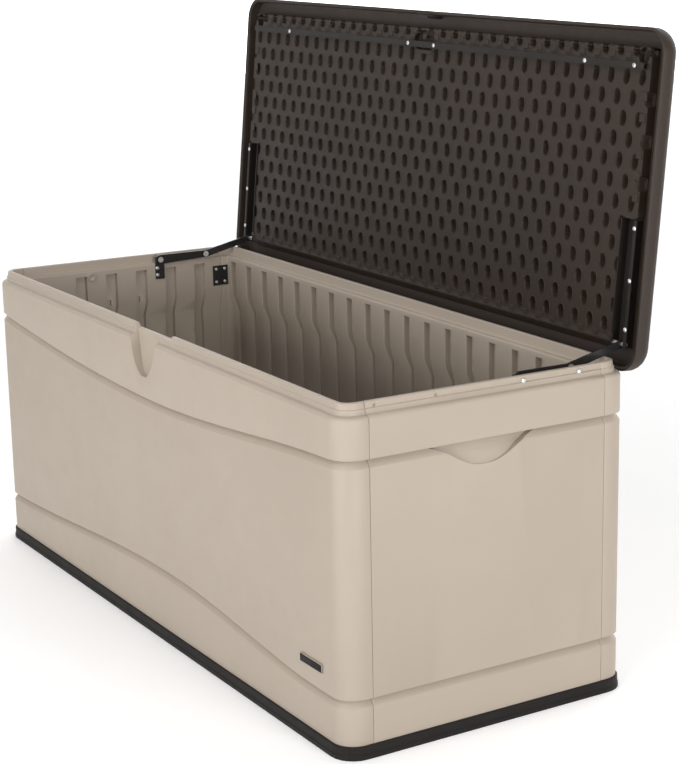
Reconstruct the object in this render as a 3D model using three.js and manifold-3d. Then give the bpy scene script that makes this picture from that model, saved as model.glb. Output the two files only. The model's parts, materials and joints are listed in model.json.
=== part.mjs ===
// Outdoor storage bench: a floor pan, four moulded wall panels and a hinged lid with folding stays.
// Millimetres, +Z up, +X along the length, front towards -Y. The origin is the centre of the underside.
// The lid is modelled shut and then turned to its open rest position about the hinge axis.
import * as THREE from 'three';
import { mergeVertices } from 'three/addons/utils/BufferGeometryUtils.js';
import Module from 'manifold-3d';

const wasm = await Module();
wasm.setup();

// ---------- driving dimensions ----------
const bodyLength = 1514;
const bodyDepth = 600;
const shoulderZ = 600;        // outer step that the lid skirt covers
const halfX = bodyLength / 2;
const halfY = bodyDepth / 2;
const cornerRadius = 41;
const innerRound = 0.5;       // least radius left inside a corner
const gap = 0.3;              // between pieces that touch
const overhang = 5;           // base and lid stand this far outside the walls

const baseHeight = 24;
const baseFootHeight = 7;
const baseStep = 1.5;
const floorTop = 40;
const floorClearance = 1;
const baseChamfer = 2;

const shoulderRound = 8;
const lipInset = 12;          // foot of the upstanding lip, in from the outer face
const lipThickness = 8;
const lipDraft = 4;
const lipRootStep = 1;        // rise of the shoulder towards the foot of the lip
const lipTop = shoulderZ + 21;
const wallUpper = 38;         // wall thickness above the bend
const wallLower = 28;         // wall thickness below the bend
const bendTop = shoulderZ - 89;
const bendBottom = shoulderZ - 124;
const seamY = halfY - 56;     // seam between side and front or back panels
const cavityRibWidth = 53;    // raised ribs inside the long walls
const cavityRibPitch = 76.7;
const cavityRibDepth = 10;
const cavityRibTop = shoulderZ - 12;
const cavityRibFoot = 60;
const cavityRibEnd = 30;      // clear of the next wall
const sideRibWidth = 46;
const sideRibPitch = 69;
const stayPadDrop = 50;       // the side ribs' gaps stop this much lower beside the stays

const lowerGrooveZ = 106.5;
const upperGrooveZ = shoulderZ - 73.4;
const grooveHeight = 14;
const grooveDepth = 13;
const grooveLead = 4;         // the groove's cutter starts this far outside the wall
const cutterReach = 20;       // how far a cutter stands clear of what it cuts
const lowerSwell = 39.5;      // how far the front's lower groove rises mid-length
const upperDip = 43;          // how far the front's upper groove dips mid-length

const handholdWidth = 258;
const handholdDrop = 44;
const handholdDepth = 20;
const handholdY = -13;
const handholdBell = 0.5;     // how far along its half width the hand-hold's curve turns

const scoopX = 15;
const scoopHalfWidth = 61;
const scoopHeight = 77;
const scoopDepth = 20;
const scoopTaper = 1.6;
const lipNotchWidth = 156;
const lipNotchDepth = 8;

const hingeY = halfY + 1;
const hingeZ = shoulderZ - 3;
const openAngle = THREE.MathUtils.degToRad(95.5);
const hingePinRadius = 3;
const hingePinClearance = 0.4;
const knuckleRadius = 7;
const knuckleLength = 36;
const knuckleEndGap = 1;
const knuckleSideGap = 1.2;
const hingeTabDepth = 4;
const hingeStations = [237 - halfX, 0, halfX - 237];

const lidRimZ = shoulderZ + 2; // underside of the lid's skirt when shut
const lidEdge = 29;           // upright part of the lid's side
const lidCrown = 71;          // whole lid height
const lidShoulder = 12;       // rounded fall from the crown's edge to the side
const lidShoulderInset = 20;
const crownPower = 2.2;
const skirtWidth = 8;
const grooveInLidWidth = 26;
const grooveInLidDepth = 22;
const fieldRecess = 4;        // the underside field, above the skirt's edge
const fieldCorner = 14;
const fieldHeight = 50;
const hingeBand = 42;         // from the hinge axis to the underside field

const barSetBack = 68;        // steel bar's middle, in from the lid's front edge
const barWidth = 12;
const barHeight = 9;
const barScrews = [209 - halfX, -48, 48, halfX - 209, halfX - 67];
const barEndInset = 42;       // the bar's ends, in from the walls' outer faces

const haspWidth = 32;
const haspThickness = 4;
const haspSetBack = 15;       // its outer face, in from the walls' outer face
const haspDrop = 14;
const haspHoleRadius = 4;
const haspHoleDrop = 6;
const lidNotchWidth = 124;
const lidNotchDepth = 8;
const lidNotchInset = 9;

const stayPivotY = hingeY - 217; // lower pivot of each stay on the side panel
const stayPivotZ = shoulderZ + 10;
const lowerLink = 116;
const upperLink = 121.2;
const lidPivotReach = 44;     // lid pivot, from the hinge axis across the lid
const lidPivotRise = 8;       // lid pivot above the skirt's edge
const linkThickness = 3;
const linkGap = 0.6;
const armEndRadius = 11;
const elbowEndRadius = 8;
const lidEndRadius = 7;
const bracketThickness = 3.2;
const bracketDrop = 46;       // how far the stay's wall bracket reaches below its pivot
const bracketTop = 6;
const bracketScrews = [[-7, -20], [-7, -36]];
const rivetRadius = 4;
const rivetClearance = 0.3;
const rivetHeadRadius = 6.5;
const rivetHeadHeight = 1.6;

const channelInner = halfX - 73; // lid channel side faces, |x|
const channelOuter = halfX - 35;
const channelFlange = halfX - 29;
const channelStart = 38;      // clear of the back wall's lip while the lid swings
const channelEnd = 268;
const channelMouth = 2;       // above the skirt's edge
const channelScrews = [254, 160, 72];
const pocketClearance = 2;
const sheet = 2;
const flangeThickness = 1.6;

const screwHeadRadius = 4.4;
const screwHeadHeight = 2.2;
const screwSlotLength = 6;
const screwSlotWidth = 1;
const screwSlotDepth = 0.9;

const cornerPlateLow = shoulderZ - 68;
const cornerPlateHigh = shoulderZ - 21;
const cornerPlateWidth = 38;
const cornerPlateThickness = 2.4;
const cornerPlateClearance = 2;
const rimScrewZ = shoulderZ + 12;
const rimScrews = [halfY - 224, halfY - 104];
const rimScrewInset = 1;

const badgeX = halfX - 109;
const badgeZ = 147.5;
const badgeWidth = 76;
const badgeHeight = 17;
const badgeThickness = 2.4;

const innerX = halfX - wallUpper;
const innerY = halfY - wallUpper;

// ---------- materials ----------
function finish(color, roughness, metalness) {
  return new THREE.MeshStandardMaterial({ color, roughness, metalness });
}
const sand = finish(0xc6baa8, 0.55, 0);
const brown = finish(0x4a423b, 0.6, 0);
const darkBase = finish(0x2d2824, 0.6, 0);
const blackSteel = finish(0x1b1b1c, 0.45, 0.4);
const greySteel = finish(0x57534f, 0.4, 0.6);
const zinc = finish(0xc9ccd0, 0.3, 0.9);
const plate = finish(0xb9b4aa, 0.4, 0.3);

// ---------- solids ----------
function toSolid(geometry) {
  const bare = geometry.index ? geometry.toNonIndexed() : geometry.clone();
  bare.deleteAttribute('normal');
  bare.deleteAttribute('uv');
  const merged = mergeVertices(bare, 1e-3);
  return new wasm.Manifold(new wasm.Mesh({
    numProp: 3,
    vertProperties: new Float32Array(merged.attributes.position.array),
    triVerts: new Uint32Array(merged.index.array),
  }));
}

function toGeometry(solid) {
  const result = solid.getMesh();
  const geometry = new THREE.BufferGeometry();
  geometry.setAttribute('position', new THREE.BufferAttribute(result.vertProperties, 3));
  geometry.setIndex(new THREE.BufferAttribute(result.triVerts, 1));
  geometry.computeVertexNormals();
  return geometry;
}

function box(x0, x1, y0, y1, z0, z1) {
  const geometry = new THREE.BoxGeometry(x1 - x0, y1 - y0, z1 - z0);
  return toSolid(geometry.translate((x0 + x1) / 2, (y0 + y1) / 2, (z0 + z1) / 2));
}

// A cylinder along X.
function rod(radius, x0, x1, y, z, sides = 20) {
  const geometry = new THREE.CylinderGeometry(radius, radius, x1 - x0, sides);
  return toSolid(geometry.rotateZ(Math.PI / 2).translate((x0 + x1) / 2, y, z));
}

// Outline points of a rounded rectangle, anticlockwise, each with its outward normal.
function roundedOutline(hx, hy, radius, cornerSteps, longSteps = 1) {
  const points = [];
  const corners = [[1, -1, -90], [1, 1, 0], [-1, 1, 90], [-1, -1, 180]];
  corners.forEach(([sx, sy, start], index) => {
    for (let i = 0; i <= cornerSteps; i += 1) {
      const angle = THREE.MathUtils.degToRad(start + (90 * i) / cornerSteps);
      const nx = Math.cos(angle);
      const ny = Math.sin(angle);
      const x = sx * (hx - radius) + radius * nx;
      const y = sy * (hy - radius) + radius * ny;
      points.push({ x, y, nx, ny, sx, sy, round: radius - innerRound });
    }
    const alongLength = index % 2 === 1;
    for (let i = 1; alongLength && i < longSteps; i += 1) {
      const x = sx * (hx - radius) * (1 - (2 * i) / longSteps);
      points.push({ x, y: sy * hy, nx: 0, ny: sy, sx: 0, sy, round: Infinity });
    }
  });
  return points;
}

// An outline's point moved in; past the corner's centre the corner stays almost square.
function insetPoint(spot, inset) {
  const past = Math.max(0, inset - spot.round);
  const depth = inset - past;
  return [spot.x - depth * spot.nx - past * spot.sx, spot.y - depth * spot.ny - past * spot.sy];
}

// A closed ring: a torus whose tube is laid along the outline with the profile as its section.
// The profile holds [inset, height] pairs, anticlockwise when seen with outward to the right.
function ring(outline, profile, lift = () => 0) {
  const geometry = new THREE.TorusGeometry(2, 1, profile.length, outline.length);
  const position = geometry.attributes.position;
  const columns = outline.length + 1;
  for (let k = 0; k < position.count; k += 1) {
    const spot = outline[(k % columns) % outline.length];
    const [inset, height] = profile[Math.floor(k / columns) % profile.length];
    position.setXYZ(k, ...insetPoint(spot, inset), height + lift(spot));
  }
  return toSolid(geometry);
}

// A closed stack of outlines from top to bottom, each with an inset, a share of its size and a height.
function stack(outline, levels) {
  const geometry = new THREE.SphereGeometry(1, outline.length, levels.length - 1);
  const position = geometry.attributes.position;
  const columns = outline.length + 1;
  for (let k = 0; k < position.count; k += 1) {
    const spot = outline[(k % columns) % outline.length];
    const { inset = 0, share = 1, z } = levels[Math.floor(k / columns)];
    const [x, y] = insetPoint(spot, inset);
    position.setXYZ(k, x * share, y * share, z);
  }
  return toSolid(geometry);
}

function slab(outline, inset, z0, z1) {
  return stack(outline, [{ share: 0, z: z1 }, { inset, z: z1 }, { inset, z: z0 }, { share: 0, z: z0 }]);
}

// ---------- wall shell ----------
const bodyOutline = roundedOutline(halfX, halfY, cornerRadius, 6);
const wavyOutline = roundedOutline(halfX, halfY, cornerRadius, 6, 28);

// A smooth hump between two ends, fuller with a small power and sharper with a large one.
function hump(x, centre, leftEnd, leftPower, rightEnd, rightPower) {
  const reach = x < centre ? centre - leftEnd : rightEnd - centre;
  const power = x < centre ? leftPower : rightPower;
  const share = Math.min(1, Math.abs(x - centre) / reach);
  return (1 - share * share) ** power;
}
const frontOnly = (spot, height) => (spot.ny < -0.99 ? height : 0);
const lowerLift = (spot) => frontOnly(spot, lowerSwell * hump(spot.x, 80, 1 - halfX, 2.3, halfX - 97, 1.95));
const upperLift = (spot) => frontOnly(spot, -upperDip * hump(spot.x, 20, 1 - halfX, 1.2, halfX - 1, 2));

function wallShell() {
  const lipFoot = lipInset + lipThickness + lipDraft;
  const arc = [0, 30, 60, 90].map((degrees) => {
    const angle = THREE.MathUtils.degToRad(degrees);
    return [shoulderRound * (1 - Math.cos(angle)), shoulderZ - shoulderRound * (1 - Math.sin(angle))];
  });
  const bottom = baseHeight + gap;
  return ring(bodyOutline, [
    [0, bottom],
    ...arc,
    [lipInset, shoulderZ + lipRootStep],
    [lipInset + lipDraft, lipTop],
    [lipInset + lipDraft + lipThickness, lipTop],
    [lipFoot + lipRootStep, shoulderZ],
    [wallUpper, shoulderZ],
    [wallUpper, bendTop],
    [wallLower, bendBottom],
    [wallLower, bottom],
  ]);
}

// An undercut top edge and a face that slopes back out to the wall.
function groove(z, lift) {
  const slope = grooveHeight / grooveDepth;
  const foot = z - grooveHeight - grooveLead * slope;
  return ring(wavyOutline, [[-grooveLead, foot], [-grooveLead, z], [grooveDepth, z]], lift);
}

function ribGaps() {
  let gaps = null;
  const add = (solid) => {
    gaps = gaps ? gaps.add(solid) : solid;
  };
  const count = Math.floor((2 * innerX) / cavityRibPitch);
  for (let i = 0; i <= count; i += 1) {
    const x = (i - count / 2) * cavityRibPitch;
    if (Math.abs(x) > innerX - cavityRibEnd) continue;
    const half = (cavityRibPitch - cavityRibWidth) / 2;
    const depth = innerY + cavityRibDepth;
    add(box(x - half, x + half, -depth, cutterReach - innerY, cavityRibFoot, cavityRibTop));
    add(box(x - half, x + half, innerY - cutterReach, depth, cavityRibFoot, cavityRibTop));
  }
  const sideCount = Math.floor((2 * (innerY - cavityRibEnd)) / sideRibPitch);
  for (let i = 0; i <= sideCount; i += 1) {
    const y = (i - sideCount / 2) * sideRibPitch;
    const half = (sideRibPitch - sideRibWidth) / 2;
    const depth = innerX + cavityRibDepth;
    const top = Math.abs(y - stayPivotY) < sideRibPitch ? cavityRibTop - stayPadDrop : cavityRibTop;
    add(box(-depth, cutterReach - innerX, y - half, y + half, cavityRibFoot, top));
    add(box(innerX - cutterReach, depth, y - half, y + half, cavityRibFoot, top));
  }
  const core = box(-innerX - cavityRibDepth, innerX + cavityRibDepth,
    -innerY - cavityRibDepth, innerY + cavityRibDepth, floorTop, shoulderZ);
  return gaps.intersect(core);
}

// Hand-hold outline on the side face: a shallow bell hanging from the upper groove.
function handhold(side) {
  const half = handholdWidth / 2;
  const turn = half * handholdBell;
  const depth = 2 * (handholdDepth + cutterReach);
  const shape = new THREE.Shape();
  shape.moveTo(-half, 0);
  shape.bezierCurveTo(-turn, 0, -turn, -handholdDrop, 0, -handholdDrop);
  shape.bezierCurveTo(turn, -handholdDrop, turn, 0, half, 0);
  const geometry = new THREE.ExtrudeGeometry(shape, { depth, bevelEnabled: false, curveSegments: 10 });
  geometry.rotateX(Math.PI / 2).rotateZ(Math.PI / 2);
  geometry.translate(side * halfX - depth / 2, handholdY, upperGrooveZ);
  const slope = Math.atan2(handholdDepth, handholdDrop);
  const wedge = new THREE.BoxGeometry(handholdWidth, handholdWidth + cutterReach, 2 * handholdWidth);
  wedge.translate(handholdWidth / 2, 0, handholdWidth / 2).rotateY(-slope);
  if (side < 0) wedge.rotateZ(Math.PI);
  wedge.translate(side * halfX, handholdY, upperGrooveZ - handholdDrop);
  return toSolid(geometry).intersect(toSolid(wedge));
}

function fingerScoop() {
  const profile = [new THREE.Vector2(0, cutterReach), new THREE.Vector2(scoopHalfWidth, cutterReach)];
  const steps = 8;
  for (let i = 0; i < steps; i += 1) {
    const share = i / steps;
    profile.push(new THREE.Vector2(scoopHalfWidth * (1 - share ** scoopTaper), -share * scoopHeight));
  }
  profile.push(new THREE.Vector2(0, -scoopHeight));
  const geometry = new THREE.LatheGeometry(profile.reverse(), 28);
  geometry.scale(1, 1, scoopDepth / scoopHalfWidth).rotateX(Math.PI / 2);
  return toSolid(geometry.translate(scoopX, -halfY, shoulderZ));
}

// The knuckles of the lid or of the wall; with extra radius they are the room cut for them.
function hingeZone(extraRadius, owner) {
  let zone = null;
  hingeStations.forEach((x) => {
    const spans = owner === 'lid'
      ? [[x - knuckleLength / 2, x + knuckleLength / 2]]
      : [-1, 1].map((s) => [x + (s - 0.5) * knuckleLength, x + (s + 0.5) * knuckleLength]);
    spans.forEach(([x0, x1]) => {
      const grow = extraRadius > 0 ? knuckleEndGap : -knuckleEndGap / 2;
      const piece = rod(knuckleRadius + extraRadius, x0 - grow, x1 + grow, hingeY, hingeZ);
      zone = zone ? zone.add(piece) : piece;
    });
  });
  return zone;
}

function pinBores() {
  const half = knuckleLength * 1.5 + cutterReach;
  const radius = hingePinRadius + hingePinClearance;
  return hingeStations.map((x) => rod(radius, x - half, x + half, hingeY, hingeZ))
    .reduce((all, bore) => all.add(bore));
}

const aboveAll = lipTop + cutterReach;
const sideRegion = (side, grow) => {
  const x0 = side > 0 ? innerX - cutterReach : -halfX - cutterReach;
  return box(x0, x0 + wallUpper + 2 * cutterReach, -seamY - grow, seamY + grow, 0, aboveAll);
};

const shell = wallShell()
  .subtract(groove(lowerGrooveZ, lowerLift))
  .subtract(groove(upperGrooveZ, upperLift))
  .subtract(ribGaps())
  .subtract(fingerScoop())
  .subtract(handhold(1))
  .subtract(handhold(-1))
  .subtract(box(scoopX - lipNotchWidth / 2, scoopX + lipNotchWidth / 2,
    -halfY, -innerY, lipTop - lipNotchDepth, aboveAll));

const sideGap = sideRegion(1, gap).add(sideRegion(-1, gap));
const longWalls = shell.subtract(sideGap);
const frontHalf = box(-bodyLength, bodyLength, -bodyDepth, 0, 0, aboveAll);
const wallKnuckles = hingeZone(0, 'wall');
const frontPanel = longWalls.intersect(frontHalf);
const backPanel = longWalls.subtract(frontHalf)
  .subtract(hingeZone(knuckleSideGap, 'lid'))
  .add(wallKnuckles)
  .subtract(pinBores());

// ---------- floor ----------
const baseOutline = roundedOutline(halfX + overhang, halfY + overhang, cornerRadius + overhang, 6);
const floorInset = overhang + wallLower + floorClearance;
const floorSolid = stack(baseOutline, [
  { share: 0, z: floorTop },
  { inset: floorInset, z: floorTop },
  { inset: floorInset, z: baseHeight },
  { inset: baseStep * 2, z: baseHeight },
  { inset: baseStep, z: baseHeight - baseChamfer },
  { inset: baseStep, z: baseFootHeight + baseChamfer },
  { inset: 0, z: baseFootHeight },
  { inset: 0, z: 0 },
  { share: 0, z: 0 },
]);

// ---------- lid ----------
const lidOutline = roundedOutline(halfX + overhang, halfY + overhang, cornerRadius + overhang, 6, 4);
function lidShell() {
  const sideTop = lidRimZ + lidEdge;
  const crownRise = lidCrown - lidEdge - lidShoulder;
  const crown = [0, 0.25, 0.5, 0.75].map((share) => (
    { inset: lidShoulderInset, share, z: lidRimZ + lidCrown - crownRise * share ** crownPower }));
  const shoulder = [80, 55, 30, 0].map((degrees) => {
    const angle = THREE.MathUtils.degToRad(degrees);
    return { inset: lidShoulderInset * (1 - Math.cos(angle)), z: sideTop + lidShoulder * Math.sin(angle) };
  });
  const body = stack(lidOutline, [
    ...crown,
    ...shoulder,
    { inset: 0, z: lidRimZ },
    { share: 0, z: lidRimZ },
  ]);
  const grooveEdge = skirtWidth + grooveInLidWidth;
  const lipGroove = slab(lidOutline, skirtWidth, lidRimZ - cutterReach, lidRimZ + grooveInLidDepth);
  const fieldFront = grooveEdge - halfY - overhang;
  const fieldBack = hingeY - hingeBand;
  const fieldHalfX = halfX + overhang - grooveEdge;
  const fieldOutline = roundedOutline(fieldHalfX, (fieldBack - fieldFront) / 2, fieldCorner, 3);
  const field = slab(fieldOutline, 0, lidRimZ + fieldRecess, lidRimZ + fieldHeight)
    .translate([0, (fieldBack + fieldFront) / 2, 0]);
  return body.subtract(lipGroove.subtract(field));
}

// [low, high] along X, mirrored for the left side.
function sideX(side, low, high) {
  return side > 0 ? [low, high] : [-high, -low];
}

// Room for a stay channel, open into the groove along the hinge side.
function channelPocket(side) {
  return box(...sideX(side, channelInner - gap, channelOuter + gap), hingeY - channelEnd - pocketClearance,
    hingeY - hingeBand + pocketClearance, lidRimZ - cutterReach, lidRimZ + grooveInLidDepth);
}

// The webs that tie the lid's knuckles to its back edge.
function hingeTabs() {
  const half = (knuckleLength - knuckleEndGap) / 2;
  return hingeStations.map((x) => box(x - half, x + half, hingeY, hingeY + hingeTabDepth,
    hingeZ + hingePinRadius, lidRimZ + fieldRecess)).reduce((all, tab) => all.add(tab));
}

const lidSolid = lidShell()
  .subtract(channelPocket(1))
  .subtract(channelPocket(-1))
  .subtract(box(scoopX - lidNotchWidth / 2, scoopX + lidNotchWidth / 2, -bodyDepth,
    lidNotchInset - halfY - overhang, lidRimZ - cutterReach, lidRimZ + lidNotchDepth))
  .subtract(hingeZone(knuckleSideGap, 'wall'))
  .add(hingeZone(0, 'lid').add(hingeTabs()))
  .subtract(pinBores());

// ---------- scene graph ----------
const bench = new THREE.Group();
const lidGroup = new THREE.Group();
lidGroup.position.set(0, hingeY, hingeZ);
lidGroup.rotation.x = -openAngle;
const shutFrame = new THREE.Group();
shutFrame.position.set(0, -hingeY, -hingeZ);
lidGroup.add(shutFrame);
bench.add(lidGroup);

function place(name, solid, material, parent = bench) {
  const mesh = new THREE.Mesh(toGeometry(solid), material);
  mesh.name = name;
  parent.add(mesh);
  return mesh;
}

place('floor_panel', floorSolid, darkBase);
place('front_panel', frontPanel, sand);
place('back_panel', backPanel, sand);
place('right_side_panel', shell.intersect(sideRegion(1, 0)), sand);
place('left_side_panel', shell.intersect(sideRegion(-1, 0)), sand);
place('lid_panel', lidSolid, brown, shutFrame);

// ---------- hinge pins ----------
hingeStations.forEach((x, index) => {
  const half = knuckleLength * 1.5;
  const name = ['left', 'centre', 'right'][index];
  place(`hinge_pin_${name}`, rod(hingePinRadius, x - half, x + half, hingeY, hingeZ), zinc);
});

// ---------- lid hardware ----------
// A domed pan-head screw whose head stands along +Z from its origin.
function screwSolid() {
  const outline = [[0, screwHeadHeight], [2.4, screwHeadHeight - 0.3], [3.8, screwHeadHeight - 1],
    [screwHeadRadius, 0.4], [screwHeadRadius, 0], [0, 0]];
  const profile = outline.map(([r, z]) => new THREE.Vector2(r, z)).reverse();
  const head = toSolid(new THREE.LatheGeometry(profile, 16).rotateX(Math.PI / 2));
  const slotBottom = screwHeadHeight - screwSlotDepth;
  const slot = box(-screwSlotLength / 2, screwSlotLength / 2, -screwSlotWidth / 2, screwSlotWidth / 2,
    slotBottom, screwHeadHeight * 2);
  return head.subtract(slot).subtract(slot.rotate([0, 0, 90]));
}
const screwGeometry = toGeometry(screwSolid());

function placeScrew(name, x, y, z, direction, parent = bench) {
  const mesh = new THREE.Mesh(screwGeometry, zinc);
  mesh.name = name;
  mesh.quaternion.setFromUnitVectors(new THREE.Vector3(0, 0, 1), direction);
  mesh.position.set(x, y, z).addScaledVector(direction, gap);
  parent.add(mesh);
}
const down = new THREE.Vector3(0, 0, -1);

const barY = barSetBack - overhang - halfY;
const fieldZ = lidRimZ + fieldRecess;
const barBottom = fieldZ - gap - barHeight;
const barEnd = halfX - barEndInset;
const barHollow = barWidth / 2 - sheet;
const barSolid = box(-barEnd, barEnd, barY - barWidth / 2, barY + barWidth / 2, barBottom, fieldZ - gap)
  .subtract(box(-bodyLength, bodyLength, barY - barHollow, barY + barHollow, barBottom + sheet, fieldZ));
place('lid_support_bar', barSolid, greySteel, shutFrame);
barScrews.forEach((x, index) => {
  placeScrew(`bar_screw_${index + 1}`, x, barY, barBottom, down, shutFrame);
});

// Hasp tab in the lid's front notch.
const haspY = haspSetBack - overhang - halfY;
const haspHole = rod(haspHoleRadius, -cutterReach, cutterReach, 0, 0).rotate([0, 0, 90]);
const haspSolid = box(scoopX - haspWidth / 2, scoopX + haspWidth / 2, haspY - haspThickness, haspY,
  lidRimZ - haspDrop, lidRimZ + grooveInLidDepth - gap)
  .subtract(haspHole.translate([scoopX, haspY, lidRimZ - haspHoleDrop]));
place('lid_hasp', haspSolid, blackSteel, shutFrame);

// ---------- stays ----------
const pivotA = new THREE.Vector2(stayPivotY, stayPivotZ);
const lidPivotShut = new THREE.Vector2(hingeY - lidPivotReach, lidRimZ + lidPivotRise);
const hinge = new THREE.Vector2(hingeY, hingeZ);
const pivotC = lidPivotShut.clone().rotateAround(hinge, -openAngle);

// The elbow lies below the straight line between the two fixed pivots.
function elbow(a, c) {
  const across = c.clone().sub(a);
  const span = across.length();
  const along = (lowerLink ** 2 - upperLink ** 2 + span ** 2) / (2 * span);
  const drop = Math.sqrt(lowerLink ** 2 - along ** 2);
  across.divideScalar(span);
  const x = a.x + across.x * along + across.y * drop;
  const y = a.y + across.y * along - across.x * drop;
  return new THREE.Vector2(x, y);
}
const pivotB = elbow(pivotA, pivotC);

const boreRadius = rivetRadius + rivetClearance;

// A flat link along +Y with round ends, its thickness along X from zero.
function linkSolid(length, startRadius, endRadius, holes) {
  const tangent = Math.acos((startRadius - endRadius) / length);
  const shape = new THREE.Shape();
  shape.absarc(length, 0, endRadius, -tangent, tangent, false);
  shape.absarc(0, 0, startRadius, tangent, 2 * Math.PI - tangent, false);
  const depth = linkThickness;
  const geometry = new THREE.ExtrudeGeometry(shape, { depth, bevelEnabled: false, curveSegments: 12 });
  geometry.rotateX(Math.PI / 2).rotateZ(Math.PI / 2);
  let solid = toSolid(geometry);
  const low = Math.min(solid.boundingBox().min[0], 0);
  solid = solid.translate([-low, 0, 0]);
  holes.forEach((y) => {
    solid = solid.subtract(rod(boreRadius, -gap, linkThickness + gap, y, 0));
  });
  return solid;
}

const bracketFace = innerX - gap - bracketThickness;
const lowerFace = bracketFace - linkGap - linkThickness;
const upperFace = lowerFace - linkGap - linkThickness;

function turnTo(mesh, from, to) {
  mesh.rotation.x = Math.atan2(to.y - from.y, to.x - from.x);
}

// A rivet along X, from the low face to the high face, with a head at either end.
function rivet(x0, x1, lowHead, highHead) {
  let solid = rod(rivetRadius, x0, x1, 0, 0);
  if (lowHead) solid = solid.add(rod(rivetHeadRadius, x0 - rivetHeadHeight, x0, 0, 0));
  if (highHead) solid = solid.add(rod(rivetHeadRadius, x1, x1 + rivetHeadHeight, 0, 0));
  return solid;
}

function stay(side, name) {
  const [bracketX] = sideX(side, bracketFace, bracketFace + bracketThickness);
  const bracketShape = box(0, bracketThickness, -armEndRadius, armEndRadius, -bracketDrop, bracketTop)
    .add(rod(armEndRadius, 0, bracketThickness, 0, 0))
    .subtract(rod(boreRadius, -gap, bracketThickness + gap, 0, 0));
  const bracket = place(`${name}_stay_base`, bracketShape, blackSteel);
  bracket.position.set(bracketX, stayPivotY, stayPivotZ);

  const lowerShape = linkSolid(lowerLink, armEndRadius, elbowEndRadius, [0, lowerLink]);
  const lower = place(`${name}_stay_lower_arm`, lowerShape, blackSteel);
  lower.position.set(sideX(side, lowerFace, lowerFace + linkThickness)[0], pivotA.x, pivotA.y);
  turnTo(lower, pivotA, pivotB);

  const upperShape = linkSolid(upperLink, elbowEndRadius, lidEndRadius, [0, upperLink]);
  const upper = place(`${name}_stay_upper_arm`, upperShape, blackSteel);
  upper.position.set(sideX(side, upperFace, upperFace + linkThickness)[0], pivotB.x, pivotB.y);
  turnTo(upper, pivotB, pivotC);

  const baseSpan = sideX(side, lowerFace - gap, bracketFace + bracketThickness);
  const baseRivet = place(`${name}_stay_base_rivet`, rivet(...baseSpan, side > 0, side < 0), zinc);
  baseRivet.position.set(0, pivotA.x, pivotA.y);

  // The elbow's rivet is parted between the arms, which leaves that pivot open.
  const outerSpan = sideX(side, lowerFace, lowerFace + linkThickness + gap);
  const innerSpan = sideX(side, upperFace - gap, upperFace + linkThickness);
  [['outer', outerSpan, side < 0, side > 0], ['inner', innerSpan, side > 0, side < 0]]
    .forEach(([which, span, lowHead, highHead]) => {
      const half = place(`${name}_stay_elbow_rivet_${which}`, rivet(...span, lowHead, highHead), zinc);
      half.position.set(0, pivotB.x, pivotB.y);
    });

  const inward = new THREE.Vector3(-side, 0, 0);
  bracketScrews.forEach(([dy, dz], index) => {
    const screwName = `${name}_stay_base_screw_${index + 1}`;
    placeScrew(screwName, side * bracketFace, stayPivotY + dy, stayPivotZ + dz, inward);
  });

  // The lid channel: a U open downwards when the lid is shut, with a flange for its screws.
  const y0 = hingeY - channelEnd;
  const y1 = hingeY - channelStart;
  const top = lidRimZ + grooveInLidDepth - gap;
  const mouth = lidRimZ + channelMouth;
  const flangeBottom = fieldZ - gap - flangeThickness;
  const outside = box(...sideX(side, channelInner, channelOuter), y0, y1, mouth, top);
  const inside = box(...sideX(side, channelInner + sheet, channelOuter - sheet),
    y0 - cutterReach, y1 + cutterReach, mouth - cutterReach, top - sheet);
  const flangeX = sideX(side, channelOuter - sheet, channelFlange);
  const flange = box(...flangeX, y0, y1, flangeBottom, fieldZ - gap);
  const pinHole = rod(boreRadius, ...sideX(side, channelInner - cutterReach, channelOuter + cutterReach),
    lidPivotShut.x, lidPivotShut.y);
  const channel = outside.subtract(inside).add(flange).subtract(pinHole);
  place(`${name}_lid_channel`, channel, blackSteel, shutFrame);

  const lidPin = place(`${name}_lid_pin`, rod(rivetRadius, ...sideX(side, channelInner, channelOuter), 0, 0),
    zinc, shutFrame);
  lidPin.position.set(0, lidPivotShut.x, lidPivotShut.y);

  const screwX = side * (channelOuter + sheet / 2);
  channelScrews.forEach((reach, index) => {
    placeScrew(`${name}_channel_screw_${index + 1}`, screwX, hingeY - reach, flangeBottom, down, shutFrame);
  });
}
stay(1, 'right');
stay(-1, 'left');

// ---------- corner plates, rim screws and badge ----------
const plateEnd = Math.min(innerY - cornerPlateClearance, halfY - cornerRadius + 1);
[[1, 1, 'back_right'], [1, -1, 'front_right'], [-1, 1, 'back_left'], [-1, -1, 'front_left']]
  .forEach(([sx, sy, name]) => {
    const xs = sideX(sx, innerX - gap - cornerPlateThickness, innerX - gap);
    const half = cornerPlateWidth / 2;
    const y = sy * (plateEnd - half);
    const plateSolid = box(...xs, y - half, y + half, cornerPlateLow, cornerPlateHigh);
    place(`corner_plate_${name}`, plateSolid, blackSteel);
  });

[[1, 'right'], [-1, 'left']].forEach(([side, name]) => {
  const outward = new THREE.Vector3(side, 0, 0);
  rimScrews.forEach((y, index) => {
    const x = side * (halfX - lipInset - rimScrewInset);
    placeScrew(`${name}_rim_screw_${index + 1}`, x, y, rimScrewZ, outward);
  });
});

place('badge_plate', box(badgeX - badgeWidth / 2, badgeX + badgeWidth / 2,
  -halfY - gap - badgeThickness, -halfY - gap, badgeZ - badgeHeight / 2, badgeZ + badgeHeight / 2), plate);

export default bench;
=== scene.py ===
# %% [markdown]
# # Lidded deck box
# A long storage box in sand and dark brown plastic: a base, four double-walled panels and a
# hinged lid on folding stays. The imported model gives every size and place. This lesson makes the
# moulded surfaces that the plain solids leave out, and gives each part its finish.

# %% Load the frame
import json
import math

import bmesh
import bpy
from mathutils import Matrix, Vector


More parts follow.
